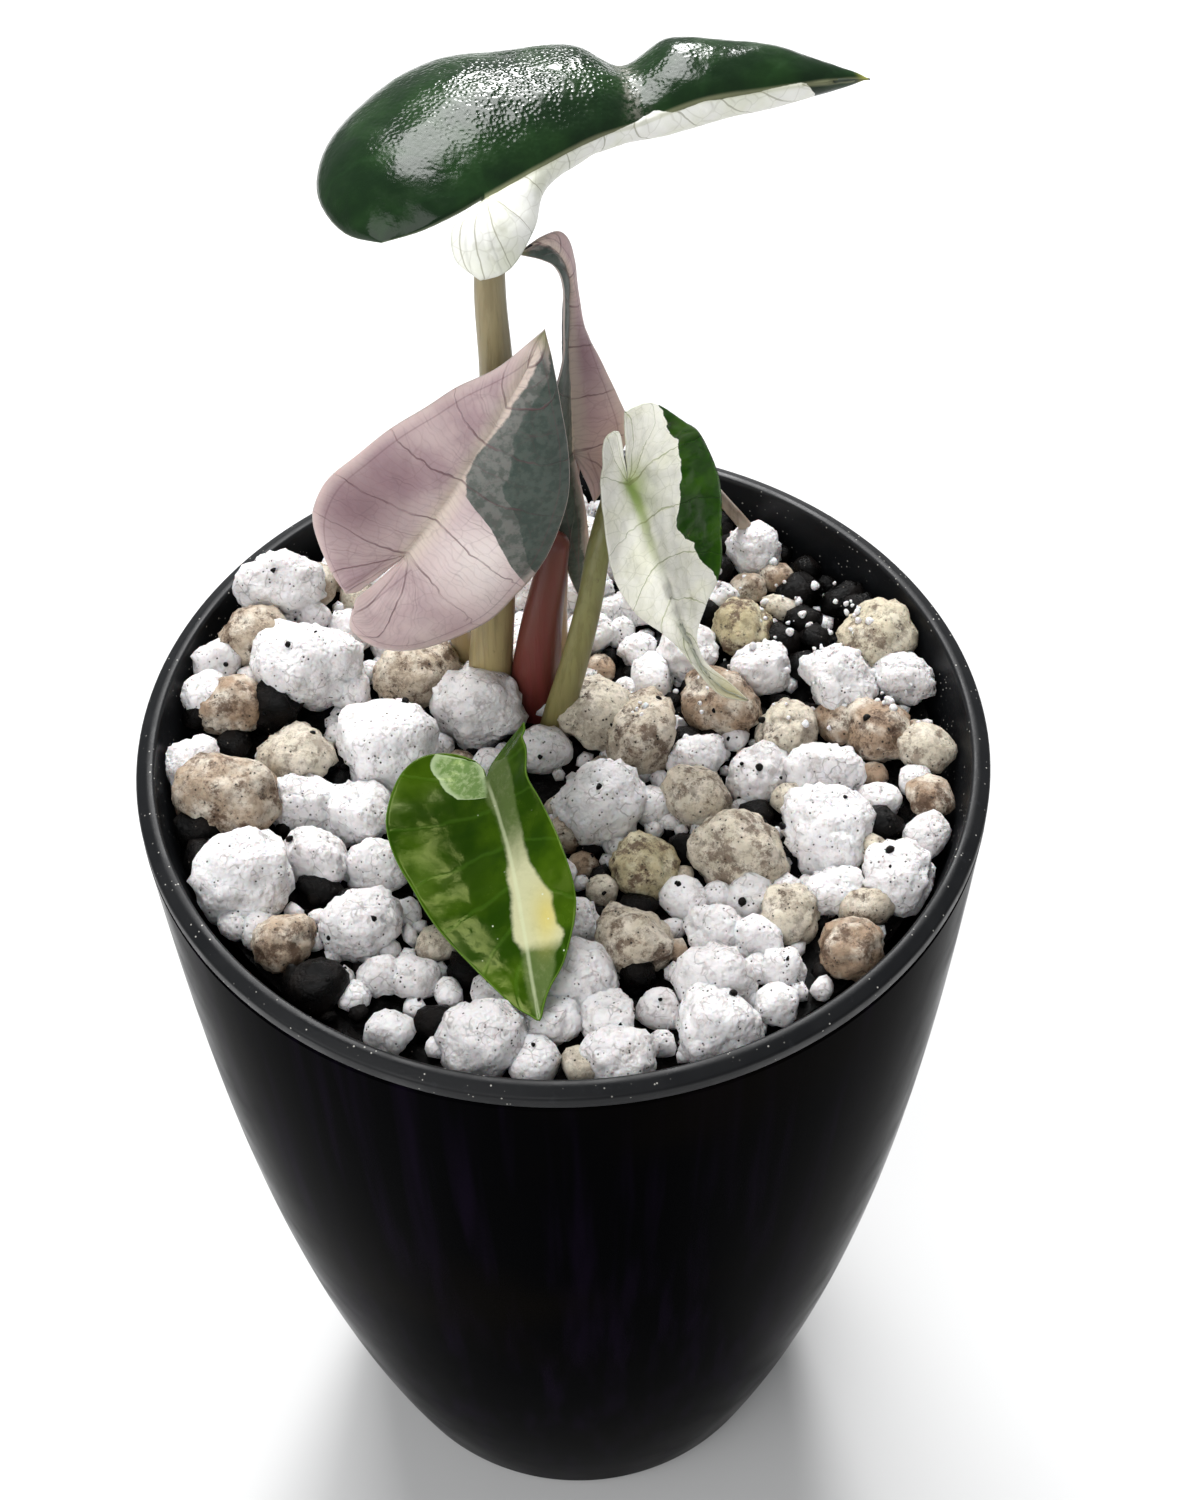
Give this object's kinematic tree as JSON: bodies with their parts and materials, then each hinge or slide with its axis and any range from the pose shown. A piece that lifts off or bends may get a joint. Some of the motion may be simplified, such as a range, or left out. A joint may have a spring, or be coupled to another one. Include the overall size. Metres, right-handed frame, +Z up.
{
  "type": "potted bambino alocasia",
  "caption": "Young variegated alocasia with arrow-shaped leaves on upright stems, in a bed of perlite and pumice inside a tapered glossy black double pot.",
  "frame": {"origin": "centre of the pot's flat base, on the surface that the pot stands on", "axes": "+Z up along the pot's axis; the small front leaf points towards -Y and the top leaf's tip towards +X"},
  "size_m": [0.1, 0.1, 0.2059],
  "materials": {
    "pot_gloss": "deep gloss black",
    "liner_satin": "satin dark grey",
    "leaf_green": "glossy leaf, dark green and cream",
    "leaf_pink": "satin leaf, mauve pink and grey green",
    "leaf_white": "satin leaf, cream white and green",
    "leaf_light_green": "glossy leaf, mid green and cream",
    "stem": "smooth olive tan stem",
    "sheath": "translucent red sheath",
    "root": "dry fibrous",
    "corm": "rough brown",
    "perlite": "matt white, porous",
    "pumice": "matt tan, stained",
    "charcoal": "matt black, crumbly"
  },
  "bodies": {
    "root": {"outer_pot": "pot_gloss", "liner_pot": "liner_satin", "top_leaf": "leaf_green", "pink_leaf": "leaf_pink", "back_leaf": "leaf_pink", "white_leaf": "leaf_white", "front_leaf": "leaf_light_green", "top_leaf_stem": "stem", "pink_leaf_stem": "stem", "back_leaf_stem": "stem", "white_leaf_stem": "stem", "front_leaf_stem": "stem", "red_sheath": "sheath", "dry_root": "root", "corm": "corm", "perlite": "perlite", "pumice": "pumice", "charcoal_mix": "charcoal"}
  },
  "joints": []
}
